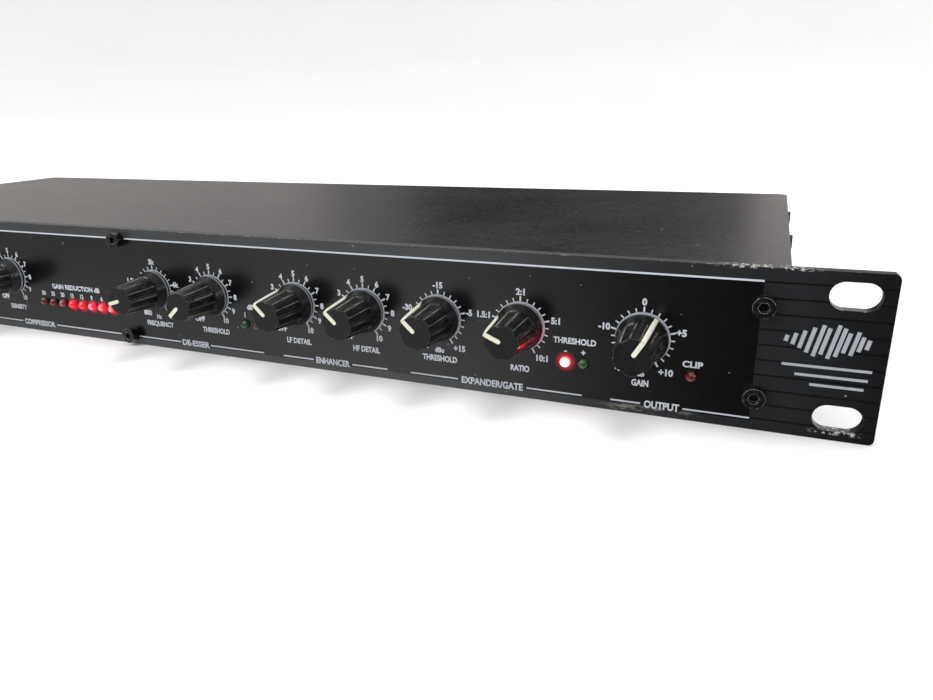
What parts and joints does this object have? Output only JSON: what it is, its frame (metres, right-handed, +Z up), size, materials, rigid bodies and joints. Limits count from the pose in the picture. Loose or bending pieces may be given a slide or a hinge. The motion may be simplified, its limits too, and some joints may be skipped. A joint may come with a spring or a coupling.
{
  "type": "rack compressor",
  "caption": "One-unit 19-inch rack voice compressor with a row of rotary controls and lamps, a steel case and rear sockets.",
  "frame": {"origin": "centre of the front panel's rear face, midway between the four rack slots", "axes": "+X to the right seen from the front, +Y from the panel to the rear, +Z up"},
  "size_m": [0.4826, 0.1703, 0.0436],
  "materials": {
    "panel_black": "satin black anodising with a light grey screen print",
    "case_black": "fine-textured black powder coat",
    "screw_black": "black oxide, bright where worn",
    "knob_black": "satin moulded black with a cream pointer",
    "shaft_aluminium": "turned aluminium",
    "button_grey": "satin moulded dark grey",
    "pot_shell": "moulded blue",
    "brass": "bright turned brass",
    "zinc_steel": "zinc-plated steel",
    "moulding_black": "moulded black nylon",
    "lamp_red": "tinted diffused resin",
    "lamp_green": "tinted diffused resin",
    "lamp_yellow": "tinted diffused resin",
    "circuit_board": "green solder mask on glass-fibre laminate",
    "capacitor_sleeve": "shrunk vinyl sleeve",
    "rocker_black": "moulded black, slightly glossy",
    "core_steel": "varnished laminations",
    "winding_tape": "yellow polyester tape",
    "wire_brown": "brown insulation",
    "socket_nickel": "satin nickel on die-cast zinc"
  },
  "bodies": {
    "case": {"front_panel": "panel_black", "panel_screws": "screw_black", "chassis_tray": "case_black", "front_plate": "case_black", "rear_plate": "case_black", "top_cover": "case_black", "cover_screws": "screw_black", "pot_bodies": "pot_shell", "pot_bushings": "brass", "pot_nuts": "zinc_steel", "switch_bodies": "moulding_black", "leds_red": "lamp_red", "leds_green": "lamp_green", "leds_yellow": "lamp_yellow", "front_board": "circuit_board", "main_board": "circuit_board", "board_link": "moulding_black", "board_standoffs": "brass", "filter_capacitors": "capacitor_sleeve", "small_capacitors": "capacitor_sleeve", "ic_chips": "moulding_black", "heat_sink": "shaft_aluminium", "inlet_body": "moulding_black", "inlet_pins": "zinc_steel", "rocker_housing": "moulding_black", "transformer_core": "core_steel", "transformer_coil": "winding_tape", "fixing_screws": "zinc_steel", "mains_harness": "wire_brown", "xlr_input_shell": "socket_nickel", "xlr_input_insert": "moulding_black", "xlr_output_shell": "socket_nickel", "xlr_output_insert": "brass", "jack_bodies": "moulding_black", "jack_nuts": "zinc_steel"},
    "control_mic_gain": {"knob_mic_gain": "knob_black", "shaft_mic_gain": "shaft_aluminium"},
    "control_drive": {"knob_drive": "knob_black", "shaft_drive": "shaft_aluminium"},
    "control_density": {"knob_density": "knob_black", "shaft_density": "shaft_aluminium"},
    "control_frequency": {"knob_frequency": "knob_black", "shaft_frequency": "shaft_aluminium"},
    "control_deess_threshold": {"knob_deess_threshold": "knob_black", "shaft_deess_threshold": "shaft_aluminium"},
    "control_lf_detail": {"knob_lf_detail": "knob_black", "shaft_lf_detail": "shaft_aluminium"},
    "control_hf_detail": {"knob_hf_detail": "knob_black", "shaft_hf_detail": "shaft_aluminium"},
    "control_gate_threshold": {"knob_gate_threshold": "knob_black", "shaft_gate_threshold": "shaft_aluminium"},
    "control_ratio": {"knob_ratio": "knob_black", "shaft_ratio": "shaft_aluminium"},
    "control_output_gain": {"knob_output_gain": "knob_black", "shaft_output_gain": "shaft_aluminium"},
    "push_phantom": {"button_phantom": "button_grey"},
    "push_highpass": {"button_highpass": "button_grey"},
    "push_bypass": {"button_bypass": "button_grey"},
    "rocker": {"power_rocker": "rocker_black"},
    "latch": {"xlr_latch": "zinc_steel"}
  },
  "joints": [
    {"name": "mic_gain_turn", "type": "hinge", "parent": "case", "child": "control_mic_gain", "pos_m": [-0.127, -0.003, 0.0003], "axis": [0, 1, 0], "range_deg": [-130, 170]},
    {"name": "drive_turn", "type": "hinge", "parent": "case", "child": "control_drive", "pos_m": [-0.0904, -0.003, 0.0003], "axis": [0, 1, 0], "range_deg": [-160, 140]},
    {"name": "density_turn", "type": "hinge", "parent": "case", "child": "control_density", "pos_m": [-0.0646, -0.003, 0.0003], "axis": [0, 1, 0], "range_deg": [-115, 185]},
    {"name": "frequency_turn", "type": "hinge", "parent": "case", "child": "control_frequency", "pos_m": [0.011, -0.003, 0.0003], "axis": [0, 1, 0], "range_deg": [-43, 257]},
    {"name": "deess_threshold_turn", "type": "hinge", "parent": "case", "child": "control_deess_threshold", "pos_m": [0.0368, -0.003, 0.0003], "axis": [0, 1, 0], "range_deg": [-18, 282]},
    {"name": "lf_detail_turn", "type": "hinge", "parent": "case", "child": "control_lf_detail", "pos_m": [0.07185, -0.003, 0.0003], "axis": [0, 1, 0], "range_deg": [-104, 196]},
    {"name": "hf_detail_turn", "type": "hinge", "parent": "case", "child": "control_hf_detail", "pos_m": [0.09765, -0.003, 0.0003], "axis": [0, 1, 0], "range_deg": [-103, 197]},
    {"name": "gate_threshold_turn", "type": "hinge", "parent": "case", "child": "control_gate_threshold", "pos_m": [0.12345, -0.003, 0.0003], "axis": [0, 1, 0], "range_deg": [-103, 197]},
    {"name": "ratio_turn", "type": "hinge", "parent": "case", "child": "control_ratio", "pos_m": [0.14925, -0.003, 0.0003], "axis": [0, 1, 0], "range_deg": [-83, 217]},
    {"name": "output_gain_turn", "type": "hinge", "parent": "case", "child": "control_output_gain", "pos_m": [0.1838, -0.003, 0.0003], "axis": [0, 1, 0], "range_deg": [-181, 119]},
    {"name": "phantom_press", "type": "slide", "parent": "case", "child": "push_phantom", "axis": [0, 1, 0], "range_m": [0, 0.0025], "stiffness_N_per_m": 400},
    {"name": "highpass_press", "type": "slide", "parent": "case", "child": "push_highpass", "axis": [0, 1, 0], "range_m": [0, 0.0025], "stiffness_N_per_m": 400},
    {"name": "bypass_press", "type": "slide", "parent": "case", "child": "push_bypass", "axis": [0, 1, 0], "range_m": [0, 0.0025], "stiffness_N_per_m": 400},
    {"name": "power_rock", "type": "hinge", "parent": "case", "child": "rocker", "pos_m": [0.138, 0.1437, 0], "axis": [1, 0, 0], "range_deg": [-18, 0]},
    {"name": "latch_press", "type": "slide", "parent": "case", "child": "latch", "axis": [0, -1, 0], "range_m": [0, 0.0015], "stiffness_N_per_m": 400}
  ]
}
